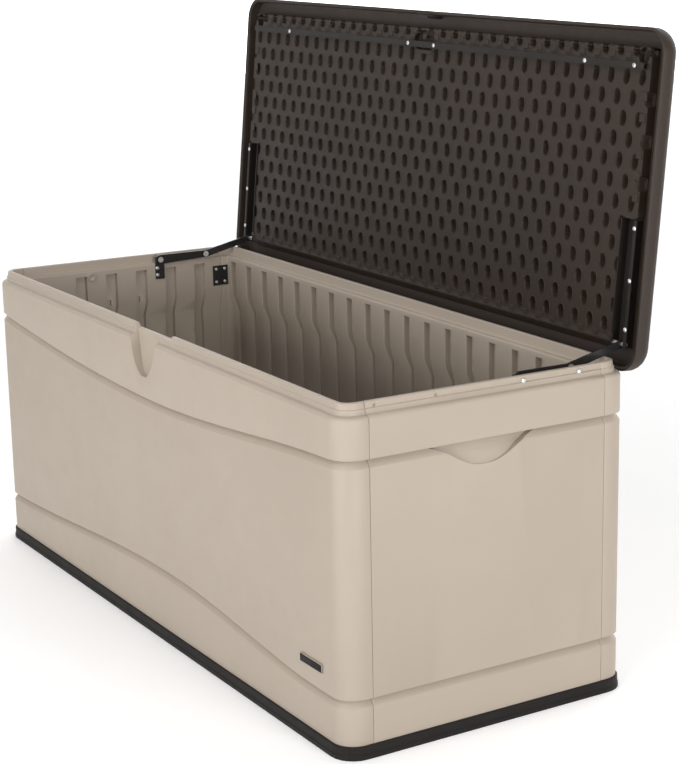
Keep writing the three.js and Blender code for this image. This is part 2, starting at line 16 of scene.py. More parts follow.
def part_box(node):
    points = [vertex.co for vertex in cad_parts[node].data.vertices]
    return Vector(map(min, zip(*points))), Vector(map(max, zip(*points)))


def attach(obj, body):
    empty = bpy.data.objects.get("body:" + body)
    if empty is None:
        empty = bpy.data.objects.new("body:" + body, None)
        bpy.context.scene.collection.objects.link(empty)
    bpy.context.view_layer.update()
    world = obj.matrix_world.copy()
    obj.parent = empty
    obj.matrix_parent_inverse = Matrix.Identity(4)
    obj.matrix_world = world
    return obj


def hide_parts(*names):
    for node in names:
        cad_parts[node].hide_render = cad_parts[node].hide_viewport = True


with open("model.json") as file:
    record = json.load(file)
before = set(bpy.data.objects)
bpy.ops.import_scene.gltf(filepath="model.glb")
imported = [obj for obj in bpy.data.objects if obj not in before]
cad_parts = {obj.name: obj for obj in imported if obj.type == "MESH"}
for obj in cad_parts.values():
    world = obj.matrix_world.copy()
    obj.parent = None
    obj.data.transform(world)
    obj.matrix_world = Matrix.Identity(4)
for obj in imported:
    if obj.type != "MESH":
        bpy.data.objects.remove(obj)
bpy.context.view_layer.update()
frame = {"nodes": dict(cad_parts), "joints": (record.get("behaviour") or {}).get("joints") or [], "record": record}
MM = 0.001

# %% [markdown]
# ## The places that everything else follows
# The panels' corners come from the solids, so a changed size moves the surfaces with it. Only
# what the solids can't say, such as the height of the lip, is named here, in metres.

# %% Places from the frame
front_low, front_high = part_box("front_panel")
half_x = front_high.x
half_y = -front_low.y
wall_foot = front_low.z
lip_top = front_high.z
lip_height = 21 * MM
shoulder_z = lip_top - lip_height
corner_radius = 41 * MM
seam_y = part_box("right_side_panel")[1].y
hinge = Vector(frame["joints"][0]["pos_m"])
open_angle = math.radians(frame["joints"][0]["range_deg"][1])
print("half length", half_x, "half depth", half_y, "lip top", lip_top, "hinge", hinge)

# %% [markdown]
# ## Small helpers
# Blender's operators act on what is selected, so each helper starts by selecting only its own
# object. Faces, edges and points are then picked by a test on their place.

# %% Helpers for objects and modes
def only(obj):
    """Leaves object mode and makes obj the one selected, active object."""
    if bpy.context.object and bpy.context.object.mode != "OBJECT":
        bpy.ops.object.mode_set(mode="OBJECT")
    bpy.ops.object.select_all(action="DESELECT")
    obj.select_set(True)
    bpy.context.view_layer.objects.active = obj


def edit(obj):
    only(obj)
    bpy.ops.object.mode_set(mode="EDIT")


def done(obj):
    """Back to object mode, with obj's place, turn and scale put into its mesh."""
    only(obj)
    bpy.ops.object.transform_apply(location=True, rotation=True, scale=True)
    return obj


def named(name):
    obj = bpy.context.object
    obj.name = name
    obj.data.name = name
    return obj


def pick(obj, test, kind="FACE"):
    """In edit mode, selects the faces, edges or points whose middle passes the test."""
    mesh = bmesh.from_edit_mesh(obj.data)
    bpy.ops.mesh.select_all(action="DESELECT")
    bpy.ops.mesh.select_mode(type=kind)
    if kind == "FACE":
        for face in mesh.faces:
            face.select_set(test(face.calc_center_median()))
    elif kind == "EDGE":
        for line in mesh.edges:
            line.select_set(test((line.verts[0].co + line.verts[1].co) / 2))
    else:
        for point in mesh.verts:
            point.select_set(test(point.co))
    mesh.select_flush_mode()
    bmesh.update_edit_mesh(obj.data)


def shift(x=0.0, y=0.0, z=0.0):
    bpy.ops.transform.translate(value=(x, y, z))


def extrude(x=0.0, y=0.0, z=0.0):
    bpy.ops.mesh.extrude_region_move(TRANSFORM_OT_translate={"value": (x, y, z)})


# %% [markdown]
# A modifier is applied as soon as it is set, so the next step works on real faces. A boolean's
# cutter is removed once it has done its work. Most small pieces start as a box, a rod or a tube.

# %% Helpers for modifiers and starting shapes
def modify(obj, kind, **settings):
    """Adds a modifier, sets it and applies it."""
    only(obj)
    modifier = obj.modifiers.new(kind.title(), kind)
    for key, value in settings.items():
        setattr(modifier, key, value)
    bpy.ops.object.modifier_apply(modifier=modifier.name)


def cut(obj, cutter, operation="DIFFERENCE"):
    modify(obj, "BOOLEAN", object=cutter, operation=operation, solver="EXACT")
    bpy.data.objects.remove(cutter)


def soften(obj, width, segments=2, angle=28):
    """Rounds every edge sharper than the angle, then smooths what is left."""
    modify(obj, "BEVEL", width=width, segments=segments, limit_method="ANGLE",
           angle_limit=math.radians(angle), harden_normals=False, use_clamp_overlap=True)
    only(obj)
    bpy.ops.object.shade_smooth_by_angle(angle=math.radians(35))


def copy_of(obj, name):
    twin = obj.copy()
    twin.data = obj.data.copy()
    twin.name = name
    twin.data.name = name
    bpy.context.collection.objects.link(twin)
    return twin


def box_piece(name, low, high):
    """A cube added at its size and place, as the start of a cutter or a small piece."""
    middle = (Vector(low) + Vector(high)) / 2
    bpy.ops.mesh.primitive_cube_add(size=1, location=middle)
    bpy.context.object.scale = Vector(high) - Vector(low)
    return done(named(name))


def rod_piece(name, radius, start, end, sides=24):
    """A cylinder between two points."""
    start, end = Vector(start), Vector(end)
    along = end - start
    turn = along.to_track_quat("Z", "Y").to_euler()
    bpy.ops.mesh.primitive_cylinder_add(vertices=sides, radius=radius, depth=along.length,
                                        location=(start + end) / 2, rotation=turn)
    return done(named(name))


def tube(name, outer, bore, start, end):
    """A rod with a bore through it."""
    start, end = Vector(start), Vector(end)
    along = (end - start).normalized() * MM
    rod = rod_piece(name, outer, start, end, sides=32)
    cut(rod, rod_piece(name + "_bore", bore, start - along, end + along, sides=32))
    return rod


def join(obj, others):
    only(obj)
    for other in others:
        other.select_set(True)
    bpy.ops.object.join()


def report(obj):
    low = Vector(min(c[i] for c in obj.bound_box) for i in range(3))
    high = Vector(max(c[i] for c in obj.bound_box) for i in range(3))
    size = [round(s * 1000, 1) for s in high - low]
    print(obj.name, "faces", len(obj.data.polygons), "size mm", size)


# %% [markdown]
# ## Camera
# A long lens from the front right, a little above the open box, keeps the long walls from
# running together too fast. A near camera would show the inside better but swell the corner.

# %% Camera
camera_data = bpy.data.cameras.new("camera")
camera = bpy.data.objects.new("camera", camera_data)
bpy.context.scene.collection.objects.link(camera)
bpy.context.scene.camera = camera
camera.location = (3.3699, -1.8266, 1.4052)
turn, tilt, roll = math.radians(56.74), math.radians(90 - 13.96), math.radians(-0.40)
aim = Matrix.Rotation(turn, 4, "Z") @ Matrix.Rotation(tilt, 4, "X")
camera.rotation_euler = (aim @ Matrix.Rotation(roll, 4, "Z")).to_euler()
camera_data.lens = 91.26
camera_data.sensor_width = 36
camera_data.shift_x = -0.1263
camera_data.shift_y = 0.0080
camera_data.clip_end = 60

# %% [markdown]
# ## Light and floor
# Three broad lamps stand above, in front and to the right, so no edge throws a hard shadow, and
# a pale world fills what they miss. The floor and the backdrop glow a little, as white paper
# under its own lamp does.

# %% Light, world and floor
light_aim = Vector((0, 0, 0.3))


def area_light(name, place, size, power):
    data = bpy.data.lights.new(name, "AREA")
    data.shape = "RECTANGLE"
    data.size, data.size_y = size
    data.energy = power
    light = bpy.data.objects.new(name, data)
    bpy.context.scene.collection.objects.link(light)
    light.location = place
    light.rotation_euler = (light_aim - Vector(place)).to_track_quat("-Z", "Y").to_euler()


area_light("overhead", (1.6, -2.4, 3.8), (1.8, 1.4), 36)
area_light("front_fill", (1.2, -4.8, 1.6), (2.6, 1.6), 112)
area_light("side_fill", (4.8, 0.2, 1.5), (1.8, 1.3), 100)

world = bpy.data.worlds.new("studio")
bpy.context.scene.world = world
world.use_nodes = True
sky = world.node_tree.nodes["Background"]
sky.inputs["Color"].default_value = (1, 1, 1, 1)
sky.inputs["Strength"].default_value = 0.38
bpy.context.scene.view_settings.view_transform = "Standard"

bpy.ops.mesh.primitive_plane_add(size=30, location=(0, 0, -0.0005))
floor = named("studio_floor")
bpy.ops.mesh.primitive_plane_add(size=40, location=(-9, 9, 0),
                                 rotation=(math.pi / 2, 0, math.radians(45)))
backdrop = named("studio_backdrop")
lamps = [o.name for o in bpy.context.scene.objects if o.type == "LIGHT"]
print("lamps:", lamps, "stage:", floor.name, backdrop.name)

# %% [markdown]
# ## Finishes
# Moulded polyethylene has a fine pebbled grain, a slight unevenness of colour and a soft sheen
# that changes a little from place to place. Steel parts are powder coated with a faint orange
# peel, and the screws are bright zinc. Each finish is one short recipe of noise textures.

# %% A recipe for finishes
def finish(name, color, other, roughness, grain=900, bump=0.12, metal=0.0, mottle=3.0,
           rough_spread=0.06, coat=0.0, specular=0.4):
    """A plastic or metal: two near colours mixed by soft noise, with grained bump and roughness."""
    material = bpy.data.materials.new(name)
    material.use_nodes = True
    nodes, links = material.node_tree.nodes, material.node_tree.links
    shader = nodes["Principled BSDF"]
    shader.inputs["Metallic"].default_value = metal
    shader.inputs["Coat Weight"].default_value = coat
    shader.inputs["Specular IOR Level"].default_value = specular
    place = nodes.new("ShaderNodeTexCoord")

    def noise(scale, detail, share=0.5):
        texture = nodes.new("ShaderNodeTexNoise")
        texture.inputs["Scale"].default_value = scale
        texture.inputs["Detail"].default_value = detail
        texture.inputs["Roughness"].default_value = share
        links.new(place.outputs["Object"], texture.inputs["Vector"])
        return texture

    def spread(source, low, high):
        ramp = nodes.new("ShaderNodeMapRange")
        ramp.inputs["From Min"].default_value = 0.3
        ramp.inputs["From Max"].default_value = 0.7
        ramp.inputs["To Min"].default_value = low
        ramp.inputs["To Max"].default_value = high
        links.new(source.outputs["Fac"], ramp.inputs["Value"])
        return ramp.outputs["Result"]

    mix = nodes.new("ShaderNodeMix")
    mix.data_type = "RGBA"
    mix.inputs["A"].default_value = (*color, 1)
    mix.inputs["B"].default_value = (*other, 1)
    links.new(spread(noise(mottle, 5), 0, 1), mix.inputs["Factor"])
    links.new(mix.outputs["Result"], shader.inputs["Base Color"])
    wear = spread(noise(mottle * 7, 6, 0.6), roughness - rough_spread, roughness + rough_spread)
    links.new(wear, shader.inputs["Roughness"])
    grain_bump = nodes.new("ShaderNodeBump")
    grain_bump.inputs["Strength"].default_value = bump
    grain_bump.inputs["Distance"].default_value = 0.0006
    links.new(noise(grain, 3).outputs["Fac"], grain_bump.inputs["Height"])
    links.new(grain_bump.outputs["Normal"], shader.inputs["Normal"])
    return material


# %% [markdown]
# Each finish has two near colours, then its roughness and the fineness and depth of its grain.
# The lid's channels are coated like the support bar, and the stays are blacker.

# %% The finishes of this box
def dress(obj, material):
    obj.data.materials.clear()
    obj.data.materials.append(material)


def lit(material, strength):
    """Gives a stage material a white glow."""
    shader = material.node_tree.nodes["Principled BSDF"]
    shader.inputs["Emission Color"].default_value = (1, 1, 1, 1)
    shader.inputs["Emission Strength"].default_value = strength


sand = finish("sand_polyethylene", (0.400, 0.338, 0.276), (0.380, 0.320, 0.260), 0.5,
              grain=750, bump=0.25)
brown = finish("brown_polyethylene", (0.027, 0.0178, 0.0125), (0.032, 0.0215, 0.0155), 0.5,
               grain=650, bump=0.3, specular=0.32)
dark = finish("base_polyethylene", (0.008, 0.0062, 0.005), (0.011, 0.0085, 0.007), 0.62,
              grain=650, bump=0.3, specular=0.25)
black_steel = finish("black_powder_coat", (0.010, 0.010, 0.011), (0.015, 0.014, 0.014), 0.35,
                     grain=1400, bump=0.15, mottle=9, coat=0.2)
bar_steel = finish("grey_powder_coat", (0.014, 0.011, 0.009), (0.020, 0.016, 0.013), 0.45,
                   grain=1400, bump=0.12, mottle=9, specular=0.3)
zinc = finish("zinc_plate", (0.78, 0.78, 0.80), (0.86, 0.86, 0.86), 0.3, grain=500, bump=0.06,
              metal=0.85, mottle=60)
floor_paint = finish("pale_floor", (0.94, 0.94, 0.94), (0.95, 0.95, 0.95), 0.9, grain=50, bump=0.0)
lit(floor_paint, 0.16)
dress(floor, floor_paint)
glow = bpy.data.materials.new("bright_backdrop")
glow.use_nodes = True
lit(glow, 1.6)
dress(backdrop, glow)

SLOT_FINISH = {
    "sand_plastic": sand, "brown_plastic": brown, "dark_base_plastic": dark,
    "black_steel": black_steel, "bar_steel": bar_steel, "zinc_steel": zinc,
}
for part in frame["record"]["subparts"]:
    if part["material_slot"] in SLOT_FINISH:
        dress(frame["nodes"][part["node"]], SLOT_FINISH[part["material_slot"]])
for side in ("left", "right"):
    dress(frame["nodes"][side + "_lid_channel"], bar_steel)
print("finishes:", sorted(SLOT_FINISH))

# %% [markdown]
# ## The wall shell
# The four walls share one cross-section, so it is drawn once, point by point, and swept round
# the box: extruded along each wall and spun round each corner. Sweeping keeps every line of the
# moulding continuous from panel to panel, which separate boxes wouldn't.

# %% Draw the section
def draw_section(name, points, place):
    """A closed loop drawn by extruding one point; points are (inset, height) and place gives XYZ."""
    bpy.ops.mesh.primitive_plane_add(size=0.01, location=(0, 0, 0))
    obj = named(name)
    edit(obj)
    bpy.ops.mesh.select_mode(type="VERT")
    bpy.ops.mesh.select_all(action="SELECT")
    bpy.ops.mesh.merge(type="CENTER")
    first = place(points[0])
    shift(*first)
    here = first
    for spot in points[1:]:
        there = place(spot)
        bpy.ops.mesh.extrude_vertices_move(TRANSFORM_OT_translate={"value": tuple(there - here)})
        here = there
    mesh = bmesh.from_edit_mesh(obj.data)
    bpy.ops.mesh.select_all(action="DESELECT")
    mesh.verts.ensure_lookup_table()
    for point in mesh.verts:
        point.select_set((point.co - first).length < 1e-6 or (point.co - here).length < 1e-6)
    bmesh.update_edit_mesh(obj.data)
    bpy.ops.mesh.edge_face_add()
    return obj


groove_depth = 13 * MM
groove_height = 14 * MM
lower_groove_z = 106.5 * MM
upper_groove_z = 526.6 * MM
rib_top, bend_top, bend_foot = 588 * MM, 511 * MM, 476 * MM
upper_inset, lower_inset = 38 * MM, 25 * MM
shoulder_radius = 8 * MM
shoulder_angles = [math.radians(step * 22.5) for step in range(5)]


def groove_points(z):
    """The groove's floor slopes inward and up to z, and its roof is level, so it sheds rain."""
    return [
        (0, z - groove_height - 2 * MM),
        (1 * MM, z - groove_height),
        (groove_depth - 1.5 * MM, z - 2 * MM),
        (groove_depth, z),
        (1 * MM, z),
        (0, z + 1 * MM),
    ]


shoulder = [(shoulder_radius * (1 - math.cos(a)), shoulder_z - shoulder_radius * (1 - math.sin(a)))
            for a in shoulder_angles]
section = [
    (0, wall_foot),
    *groove_points(lower_groove_z),
    *groove_points(upper_groove_z),
    *shoulder,
    (10.5 * MM, shoulder_z + 0.5 * MM),
    (11.2 * MM, shoulder_z + 1.5 * MM),
    (11.8 * MM, shoulder_z + 9 * MM),
    (13.6 * MM, shoulder_z + 10 * MM),
    (14.6 * MM, lip_top - 2.5 * MM),
    (15.6 * MM, lip_top - 0.7 * MM),
    (17.5 * MM, lip_top),
    (22 * MM, lip_top),
    (24 * MM, lip_top - 1.5 * MM),
    (24.8 * MM, shoulder_z + 2 * MM),
    (26 * MM, shoulder_z),
    (upper_inset - 2.5 * MM, shoulder_z),
    (upper_inset, shoulder_z - 2.5 * MM),
    (upper_inset, rib_top),
    (upper_inset, bend_top),
    (lower_inset, bend_foot),
    (lower_inset, wall_foot),
]
shell = draw_section("wall_shell", section, lambda p: Vector(
    (-half_x + corner_radius, -half_y + p[0], p[1])))
print("section points:", len(section))

# %% [markdown]
# The inner skin has ribs with gaps between them. The gaps' edges decide where the sweep stops
# along each wall, so the gaps can be pushed back later from whole faces, with nothing to cut.

# %% Rib spacing
rib_pitch, gap_width = 76.7 * MM, 24 * MM
side_gap_width = 28 * MM
side_gaps = [(-112.5 + 75 * k) * MM for k in range(5)]
straight_x = half_x - corner_radius
straight_y = half_y - corner_radius


def rib_gaps(reach, pitch, width):
    """Middle places of the gaps between ribs, from low to high."""
    count = int((reach - width) / pitch)
    return [k * pitch for k in range(-count, count + 1)]


long_gaps = rib_gaps(straight_x, rib_pitch, gap_width)


def stops(reach, gaps, width):
    """Every place along a wall where the sweep pauses, ending at the corner."""
    edges = [g + side * width / 2 for g in gaps for side in (-1, 1)]
    return sorted(edges) + [reach]


print("gaps on a long wall:", len(long_gaps), "on a side wall:", len(side_gaps))

# %% [markdown]
# The drawn section starts at the front left corner and runs anticlockwise seen from above: a
# straight, a quarter turn, and so on until it meets itself. The doubled points are then merged.

# %% Sweep the section round the box
def sweep_straight(reach, gaps, width, along):
    here = -reach
    for stop in stops(reach, gaps, width):
        extrude(*(along * (stop - here)))
        here = stop


def sweep_corner(centre, steps=8):
    bpy.ops.mesh.spin(steps=steps, angle=-math.pi / 2, center=(*centre, 0), axis=(0, 0, 1))


edit(shell)
bpy.ops.mesh.select_all(action="SELECT")
sweep_straight(straight_x, long_gaps, gap_width, Vector((1, 0, 0)))
sweep_corner((straight_x, -straight_y))
sweep_straight(straight_y, side_gaps, side_gap_width, Vector((0, 1, 0)))
sweep_corner((straight_x, straight_y))
sweep_straight(straight_x, long_gaps, gap_width, Vector((-1, 0, 0)))
sweep_corner((-straight_x, straight_y))
sweep_straight(straight_y, [-gap for gap in side_gaps], side_gap_width, Vector((0, -1, 0)))
sweep_corner((-straight_x, -straight_y))
bpy.ops.mesh.select_all(action="SELECT")
bpy.ops.mesh.remove_doubles(threshold=0.0001)
bpy.ops.mesh.normals_make_consistent(inside=False)
bpy.ops.object.mode_set(mode="OBJECT")
report(shell)

# %% [markdown]
# ## Curved grooves on the front
# Two moulded grooves run round the box. On the front wall they swell apart and together in long
# curves, so each column of groove points there is moved up or down by a smooth hump.

# %% Bend the front grooves
def hump(x, centre, left, left_power, right, right_power):
    """One at the centre and nothing at either reach; a higher power leaves the centre sooner."""
    reach, power = (left, left_power) if x < centre else (right, right_power)
    share = min(1, abs(x - centre) / reach)
    return (1 - share * share) ** power


def bend_groove(z, lift):
    low, high = z - groove_height - 2.5 * MM, z + 1.5 * MM
    for x in stops(straight_x, long_gaps, gap_width):
        pick(shell, lambda p: abs(p.x - x) < MM and p.y < skin - half_y and low < p.z < high, "VERT")
        shift(z=lift(x))


skin = groove_depth + 2 * MM
lower_swell, upper_swell = 39.5 * MM, -43 * MM
edit(shell)
bend_groove(lower_groove_z, lambda x: lower_swell * hump(
    x, centre=0.080, left=0.836, left_power=2.3, right=0.580, right_power=1.95))
bend_groove(upper_groove_z, lambda x: upper_swell * hump(
    x, centre=0.020, left=0.776, left_power=1.2, right=0.736, right_power=2.0))
bpy.ops.object.mode_set(mode="OBJECT")
print("grooves bent at", len(stops(straight_x, long_gaps, gap_width)), "columns")

# %% [markdown]
# ## Ribs inside the walls
# The inner skin is stiffened by broad upright ribs. The gaps between them are whole faces of the
# sweep, so they are pushed back into the wall. Below the bend the gaps are narrower.

# %% Push the gaps back
inner_side = 24 * MM


def gap_faces(gaps, width, axis, half, outward, depth, foot_width):
    """Narrows each gap of one wall to foot_width below the bend, then pushes it outward."""
    other = 1 - axis
    for gap in gaps:
        for side in (-1, 1):
            pick(shell, lambda p: abs(p[axis] - gap - side * width / 2) < MM and p.z < bend_foot + MM
                 and 0 < (p[other] * outward) < half - inner_side, "VERT")
            move = [0, 0, 0]
            move[axis] = -side * (width - foot_width) / 2
            shift(*move)
        pick(shell, lambda p: abs(p[axis] - gap) < width / 2 and p.z < rib_top
             and 0 < (p[other] * outward) < half - inner_side)
        back = [0, 0, 0]
        back[other] = outward * depth
        extrude(*back)


edit(shell)
for side in (-1, 1):
    gap_faces(long_gaps, gap_width, 0, half_y, side, depth=14 * MM, foot_width=10 * MM)
    gap_faces(side_gaps, side_gap_width, 1, half_x, side, depth=11 * MM, foot_width=24 * MM)
bpy.ops.mesh.select_all(action="SELECT")
bpy.ops.mesh.normals_make_consistent(inside=False)
bpy.ops.object.mode_set(mode="OBJECT")
report(shell)

# %% [markdown]
# ## Part the shell into its four panels
# The real walls are separate mouldings that slot together near the corners, so the ring is cut
# by two planes and each cut is filled.

# %% Cut at the seams
def slice_off(obj, y, normal_y):
    """Removes what lies beyond y on the normal's side, and fills the cut."""
    edit(obj)
    bpy.ops.mesh.select_all(action="SELECT")
    bpy.ops.mesh.bisect(plane_co=(0, y, 0), plane_no=(0, normal_y, 0), clear_outer=True)
    bpy.ops.mesh.select_all(action="SELECT")
    bpy.ops.mesh.fill_holes(sides=0)
    bpy.ops.mesh.select_all(action="SELECT")
    bpy.ops.mesh.normals_make_consistent(inside=False)
    bpy.ops.object.mode_set(mode="OBJECT")


seam_gap = 0.4 * MM
front_wall = copy_of(shell, "front_wall")
slice_off(front_wall, -seam_y - seam_gap, 1)
back_wall = copy_of(shell, "back_wall")
slice_off(back_wall, seam_y + seam_gap, -1)
side_walls = {}
for name, side in (("left", -1), ("right", 1)):
    wall = copy_of(shell, name + "_side_wall")
    edit(wall)
    pick(wall, lambda p: p.x * side < straight_x - 2 * MM, "VERT")
    bpy.ops.mesh.delete(type="VERT")
    slice_off(wall, seam_y - seam_gap, 1)
    slice_off(wall, seam_gap - seam_y, -1)
    side_walls[name] = wall
bpy.data.objects.remove(shell)
for wall in (front_wall, back_wall, *side_walls.values()):
    report(wall)

# %% [markdown]
# ## Scoops and notches
# A finger scoop and two hand-holds are pressed into the walls. Each is an outline on the outer
# face that is pushed in, deeper at the top than at the bottom, and cut out of its wall.

# %% Pocket cutters
overshoot = 6 * MM


def pocket_cutter(name, outline, depths, face, sideways):
    """A closed outline of (along, height) on the outer face, pushed in by a depth for each height."""
    def place(p):
        return Vector((face, p[0], p[1])) if sideways else Vector((p[0], face, p[1]))

    axis = 0 if sideways else 1
    inward = -1 if face > 0 else 1
    obj = draw_section(name, outline, place)
    bpy.ops.mesh.select_all(action="SELECT")
    bpy.ops.mesh.edge_face_add()
    step = [0, 0, 0]
    step[axis] = inward * MM
    extrude(*step)
    for height in sorted({round(p[1], 6) for p in outline}):
        pick(obj, lambda p: abs(p.z - height) < 1e-5 and abs(p[axis] - face) > MM / 2, "VERT")
        step[axis] = inward * (depths(height) - MM)
        shift(*step)
    pick(obj, lambda p: abs(p[axis] - face) < MM / 10, "VERT")
    step[axis] = -inward * overshoot
    shift(*step)
    bpy.ops.mesh.select_all(action="SELECT")
    bpy.ops.mesh.normals_make_consistent(inside=False)
    bpy.ops.object.mode_set(mode="OBJECT")
    return obj


def mirrored(rows, middle, top):
    """An outline from (half width, height) rows, drawn down one side and up the other."""
    left = [(middle - w * MM, top + h * MM) for w, h in rows]
    right = [(middle + w * MM, top + h * MM) for w, h in rows]
    return left + right[::-1]


scoop_middle, scoop_depth = 0.008, 19 * MM
scoop_fade_z, scoop_fade = 0.56, 0.24
scoop_rows = [(54, 14), (53, 0), (51, -14), (48, -26), (43, -40), (36, -53), (26, -65), (12, -74.5)]
scoop_outline = mirrored(scoop_rows, scoop_middle, shoulder_z)
cut(front_wall, pocket_cutter(
    "scoop_cutter", scoop_outline,
    lambda z: scoop_depth - max(0, (scoop_fade_z - z) * scoop_fade), -half_y, False))

hold_middle, hold_foot_z, hold_foot_depth, hold_slope = -0.013, 0.481, 1.5 * MM, 0.42
hold_rows = [(129, 0), (112, -1.6), (98, -5), (86, -10), (74, -16.5),
             (62, -23.5), (50, -30.5), (38, -36.5), (25, -41), (12, -43.4)]
hold_outline = mirrored(hold_rows, hold_middle, upper_groove_z - MM)
for name, side in (("left", -1), ("right", 1)):
    cut(side_walls[name], pocket_cutter(
        "hold_cutter", hold_outline,
        lambda z: hold_foot_depth + (z - hold_foot_z) * hold_slope, side * half_x, True))
print("pockets: one scoop and", len(side_walls), "hand-holds")

# %% [markdown]
# The lid's catch drops through a notch in the front lip. It is a block whose lower corners are
# drawn together, so the notch's ends slope and the lip isn't weakened by a square corner.

# %% The notch in the front lip
notch_left, notch_right = -0.063, 0.114
notch_front, notch_back = -0.296, -0.262
notch = box_piece("notch_cutter", (notch_left, notch_front, lip_top - 8 * MM),
                  (notch_right, notch_back, lip_top + 20 * MM))
edit(notch)
for side, slope in ((-1, 18 * MM), (1, 4 * MM)):
    pick(notch, lambda p: p.z < lip_top and p.x * side > 0, "VERT")
    shift(x=-side * slope)
bpy.ops.object.mode_set(mode="OBJECT")
cut(front_wall, notch)
report(front_wall)

# %% [markdown]
# The side walls have two blind holes along the rim and a few small pressed dimples between the
# ribs. Rods and boxes are enough to cut them, because their own shapes are as plain.

# %% Holes and dimples in the side walls
hole_ys, hole_z, hole_radius = (-0.226, -0.105), 0.6135, 3.2 * MM
dimple_y, dimple_z = 5 * MM, 7 * MM
dimples = [(-0.042, 0.518), (0.031, 0.519), (0.099, 0.489), (0.099, 0.431), (0.174, 0.551),
           (0.172, 0.488), (0.172, 0.427)]
for name, side in (("left", -1), ("right", 1)):
    for y in hole_ys:
        x = side * (half_x - 12 * MM)
        cut(side_walls[name], rod_piece("hole_cutter", hole_radius, (x - side * 4 * MM, y, hole_z),
                                        (x + side * 5 * MM, y, hole_z), sides=16))
    for y, z in dimples:
        x = side * (half_x - upper_inset + 11 * MM)
        cut(side_walls[name], box_piece(
            "dimple_cutter", (x - 5 * MM, y - dimple_y, z - dimple_z),
            (x + 5 * MM, y + dimple_y, z + dimple_z)))
    report(side_walls[name])

# %% [markdown]
# The back wall carries the fixed knuckles of three hinges, and has room cut for the lid's own.
# Every edge is then rounded a little, as a moulding's edges are, and a boss for a rim screw is
# added to each side. Each wall replaces its plain solid and rides with the case.

# %% Finish the walls
hinge_places = (-0.520, 0, 0.520)
knuckle, knuckle_radius, knuckle_bore = 36 * MM, 7 * MM, 3.4 * MM
knuckle_room = knuckle_radius + 1.2 * MM
slack = 0.015
for x in hinge_places:
    cut(back_wall, rod_piece("knuckle_room", knuckle_room, (x - knuckle / 2 - MM, hinge.y, hinge.z),
                             (x + knuckle / 2 + MM, hinge.y, hinge.z)))
for wall in (front_wall, back_wall, *side_walls.values()):
    soften(wall, 0.9 * MM)
wall_knuckles = []
for x in hinge_places:
    for side in (-1, 1):
        start, end = x + side * knuckle * (0.5 + slack), x + side * knuckle * (1.5 - slack)
        piece = tube("wall_knuckle", knuckle_radius, knuckle_bore,
                     (start, hinge.y, hinge.z), (end, hinge.y, hinge.z))
        soften(piece, 0.8 * MM)
        wall_knuckles.append(piece)
join(back_wall, wall_knuckles)
boss_y, boss_z, boss_rise = -0.088, 0.586, 4 * MM
for name, side in (("left", -1), ("right", 1)):
    x = side * (half_x - upper_inset)
    boss = rod_piece("rim_boss", 9 * MM, (x + side * 3 * MM, boss_y, boss_z),
                     (x - side * boss_rise, boss_y, boss_z), sides=28)
    edit(boss)
    pick(boss, lambda p: abs(p.x - x + side * boss_rise) < MM / 10)
    bpy.ops.mesh.inset(thickness=3 * MM, depth=0)
    extrude(x=side * 2.5 * MM)
    bpy.ops.object.mode_set(mode="OBJECT")
    soften(boss, 0.8 * MM)
    join(side_walls[name], [boss])
for wall, node in ((front_wall, "front_panel"), (back_wall, "back_panel"),
                   (side_walls["left"], "left_side_panel"), (side_walls["right"], "right_side_panel")):
    dress(wall, sand)
    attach(wall, "case")
    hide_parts(node)
    report(wall)

# %% [markdown]
# ## The lid
# The lid is modelled shut, because its skirt and crown then line up with the world's axes. It
# starts as a block: the upright corners are rounded, the top is inset and raised in small steps
# into a crown, and the underside is inset and pushed up to leave the skirt.

# %% Outer shell of the lid
lid_z, lid_side, lid_corner, lid_overhang = 602 * MM, 17 * MM, 46 * MM, 5 * MM
lid_half_x, lid_half_y = half_x + lid_overhang, half_y + lid_overhang
lid = box_piece("lid_moulding", (-lid_half_x, -lid_half_y, lid_z),
                (lid_half_x, lid_half_y, lid_z + lid_side))
edit(lid)
pick(lid, lambda p: abs(p.x) > lid_half_x - MM and abs(p.y) > lid_half_y - MM, "EDGE")
bpy.ops.mesh.bevel(offset=lid_corner, offset_type="OFFSET", segments=8, affect="EDGES")
pick(lid, lambda p: p.z > lid_z + lid_side - MM / 2)
for inset, rise in ((0.9, 4.5), (1.6, 4.5), (2.4, 4.2), (3.2, 3.6), (4.0, 2.8), (5.0, 2.2), (7.0, 2.2)):
    bpy.ops.mesh.inset(thickness=inset * MM, depth=0)
    shift(z=rise * MM)
rounded_in = 24.1 * MM
crown_x, crown_y = lid_half_x - rounded_in, lid_half_y - rounded_in
for inset, rise in ((16, 5.0), (24, 6.4), (34, 6.8), (46, 6.0), (56, 4.0), (60, 1.8)):
    extrude(z=rise * MM)
    inset *= MM
    bpy.ops.transform.resize(value=((crown_x - inset) / crown_x, (crown_y - inset) / crown_y, 1),
                             center_override=(0, 0, 0))
    crown_x, crown_y = crown_x - inset, crown_y - inset
pick(lid, lambda p: p.z < lid_z + MM)
for inset, rise in ((2.2, 0), (3.6, 1.2), (1.4, 2.0), (0.8, 18.8)):
    bpy.ops.mesh.inset(thickness=inset * MM, depth=0)
    shift(z=rise * MM)
bpy.ops.object.mode_set(mode="OBJECT")
report(lid)

# %% [markdown]
# The underside carries a field of oval dimples in staggered rows, which stiffen a thin skin. One
# tile is made, from the border of a subdivided square bridged to an oval, and then laid out by
# array modifiers. Cutting more than four hundred dimples one by one would be slow and uneven.

# %% One tile with one dimple
field_z = lid_z + 4 * MM
pitch_x, pitch_y = 44 * MM, 37 * MM


inner_share = 0.49


